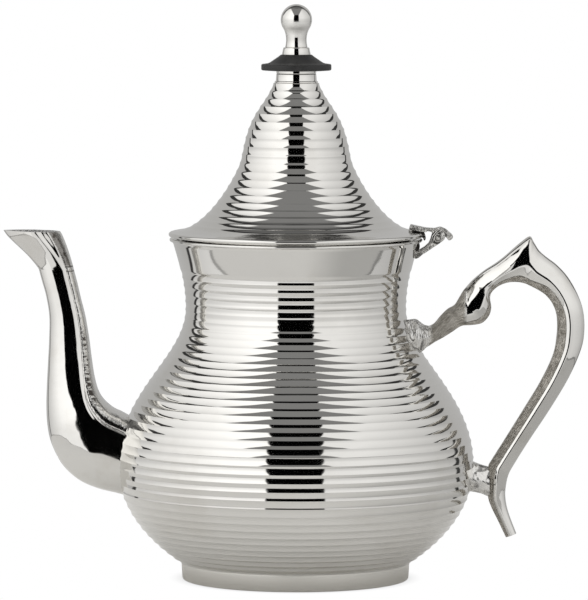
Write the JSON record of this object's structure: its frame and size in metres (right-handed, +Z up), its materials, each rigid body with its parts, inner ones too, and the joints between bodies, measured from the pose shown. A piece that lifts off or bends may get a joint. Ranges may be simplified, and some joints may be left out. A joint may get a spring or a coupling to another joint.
{
  "type": "ribbed metal teapot",
  "caption": "Tall ribbed metal tea and coffee pot with a pear-shaped body, a gooseneck spout, a scrolled side handle and a pointed hinged lid with a ball knob.",
  "frame": {"origin": "centre of the foot's underside, on the axis of the pot", "axes": "+Z up the axis of the pot, +X towards the handle and -X towards the spout; +Y follows by the right-hand rule"},
  "size_m": [0.2423, 0.149, 0.2398],
  "materials": {
    "polished_sheet": "polished nickel plate over brass sheet, with fine turning marks",
    "satin_band": "satin nickel band",
    "base_sheet": "dull unplated brass",
    "cast_polished": "cast brass, nickel plated and hand polished",
    "cast_satin": "cast brass, nickel plated, left satin",
    "steel": "plain steel",
    "black_ring": "matte black heat-resistant plastic"
  },
  "bodies": {
    "pot": {"body_shell": "polished_sheet", "neck_shell": "polished_sheet", "foot_ring": "satin_band", "base_plate": "base_sheet", "strainer": "polished_sheet", "spout_tube": "cast_polished", "spout_beak": "cast_polished", "handle_upper_foot": "cast_polished", "handle_grip": "cast_polished", "handle_lower_foot": "cast_polished", "hinge_bracket": "cast_satin", "hinge_pin": "steel"},
    "lid": {"lid_shell": "polished_sheet", "lid_skirt": "polished_sheet", "hinge_strap": "cast_satin", "insulator_ring": "black_ring", "finial_collar": "cast_polished", "finial_knob": "cast_polished", "finial_stud": "steel", "stud_washer": "steel", "stud_nut": "steel"}
  },
  "joints": [
    {"name": "lid_hinge", "type": "hinge", "parent": "pot", "child": "lid", "pos_m": [0.0589, 0, 0.14295], "axis": [0, 1, 0], "range_deg": [0, 105]}
  ]
}
